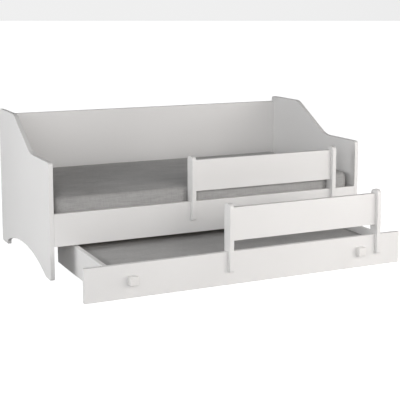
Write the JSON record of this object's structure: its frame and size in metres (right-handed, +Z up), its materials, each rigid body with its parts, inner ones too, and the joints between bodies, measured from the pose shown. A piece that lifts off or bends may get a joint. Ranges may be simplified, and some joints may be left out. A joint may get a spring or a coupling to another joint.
{
  "type": "toddler bed",
  "caption": "White board daybed for a small child with a mattress, two hook-on guard rails and a trundle drawer on castors that holds a second mattress.",
  "frame": {"origin": "on the floor, at the middle of the whole object's length and depth, with the drawer pulled out as at rest", "axes": "+X along the bed to the right as seen from the front, +Y to the back panel, +Z up"},
  "size_m": [1.44, 1.132, 0.6135],
  "materials": {
    "bed_mattress_cover": "matte woven cover",
    "drawer_mattress_cover": "matte woven cover",
    "strap_webbing": "matte",
    "pine": "sanded",
    "beech": "sanded",
    "zinc_steel": "satin",
    "castor_plastic": "matte",
    "glide_plastic": "matte",
    "knob_paint": "satin lacquer",
    "white_hardboard": "satin",
    "white_board": "satin melamine"
  },
  "bodies": {
    "bed": {"back_batten": "pine", "back_panel": "white_board", "back_slat_strap": "strap_webbing", "batten_screws": "zinc_steel", "bed_cam_bolts": "zinc_steel", "bed_cam_nuts": "zinc_steel", "bed_dowels": "beech", "bed_mattress": "bed_mattress_cover", "foot_glides": "glide_plastic", "front_batten": "pine", "front_rail": "white_board", "front_slat_strap": "strap_webbing", "left_end_panel": "white_board", "right_end_panel": "white_board", "slat_01": "pine", "slat_02": "pine", "slat_03": "pine", "slat_04": "pine", "slat_05": "pine", "slat_06": "pine", "slat_07": "pine", "slat_08": "pine", "slat_09": "pine", "slat_10": "pine", "slat_screws": "zinc_steel"},
    "upper_guard": {"upper_guard_board": "white_board", "upper_guard_dowels": "beech", "upper_guard_post_left": "white_board", "upper_guard_post_right": "white_board"},
    "drawer": {"castor_axles": "zinc_steel", "castor_fork_back_left": "zinc_steel", "castor_fork_back_right": "zinc_steel", "castor_fork_front_left": "zinc_steel", "castor_fork_front_right": "zinc_steel", "drawer_back": "white_board", "drawer_bottom": "white_hardboard", "drawer_bottom_batten": "pine", "drawer_cam_bolts": "zinc_steel", "drawer_cam_nuts": "zinc_steel", "drawer_corner_screws": "zinc_steel", "drawer_dowels": "beech", "drawer_front": "white_board", "drawer_knob_left": "knob_paint", "drawer_knob_right": "knob_paint", "drawer_knob_screws": "zinc_steel", "drawer_mattress": "drawer_mattress_cover", "drawer_side_left": "white_board", "drawer_side_right": "white_board"},
    "lower_guard": {"lower_guard_board": "white_board", "lower_guard_dowels": "beech", "lower_guard_post_left": "white_board", "lower_guard_post_right": "white_board"},
    "castor_wheel_back_left": {"castor_wheel_back_left": "castor_plastic"},
    "castor_wheel_back_right": {"castor_wheel_back_right": "castor_plastic"},
    "castor_wheel_front_left": {"castor_wheel_front_left": "castor_plastic"},
    "castor_wheel_front_right": {"castor_wheel_front_right": "castor_plastic"}
  },
  "joints": [
    {"name": "drawer_slide", "type": "slide", "parent": "bed", "child": "drawer", "axis": [0, -1, 0], "range_m": [-0.285, 0.215]},
    {"name": "upper_guard_lift", "type": "slide", "parent": "bed", "child": "upper_guard", "axis": [0, 0, 1], "range_m": [0, 0.12]},
    {"name": "lower_guard_lift", "type": "slide", "parent": "drawer", "child": "lower_guard", "axis": [0, 0, 1], "range_m": [0, 0.12]},
    {"name": "castor_wheel_back_left_spin", "type": "hinge", "parent": "drawer", "child": "castor_wheel_back_left", "pos_m": [-0.571, -0.034, 0.015], "axis": [1, 0, 0], "continuous": true},
    {"name": "castor_wheel_back_right_spin", "type": "hinge", "parent": "drawer", "child": "castor_wheel_back_right", "pos_m": [0.571, -0.034, 0.015], "axis": [1, 0, 0], "continuous": true},
    {"name": "castor_wheel_front_left_spin", "type": "hinge", "parent": "drawer", "child": "castor_wheel_front_left", "pos_m": [-0.571, -0.474, 0.015], "axis": [1, 0, 0], "continuous": true},
    {"name": "castor_wheel_front_right_spin", "type": "hinge", "parent": "drawer", "child": "castor_wheel_front_right", "pos_m": [0.571, -0.474, 0.015], "axis": [1, 0, 0], "continuous": true}
  ],
  "couplings": [
    {"joint": "castor_wheel_back_left_spin", "follows": "drawer_slide", "rad_per_m": 66.667},
    {"joint": "castor_wheel_back_right_spin", "follows": "drawer_slide", "rad_per_m": 66.667},
    {"joint": "castor_wheel_front_left_spin", "follows": "drawer_slide", "rad_per_m": 66.667},
    {"joint": "castor_wheel_front_right_spin", "follows": "drawer_slide", "rad_per_m": 66.667}
  ]
}
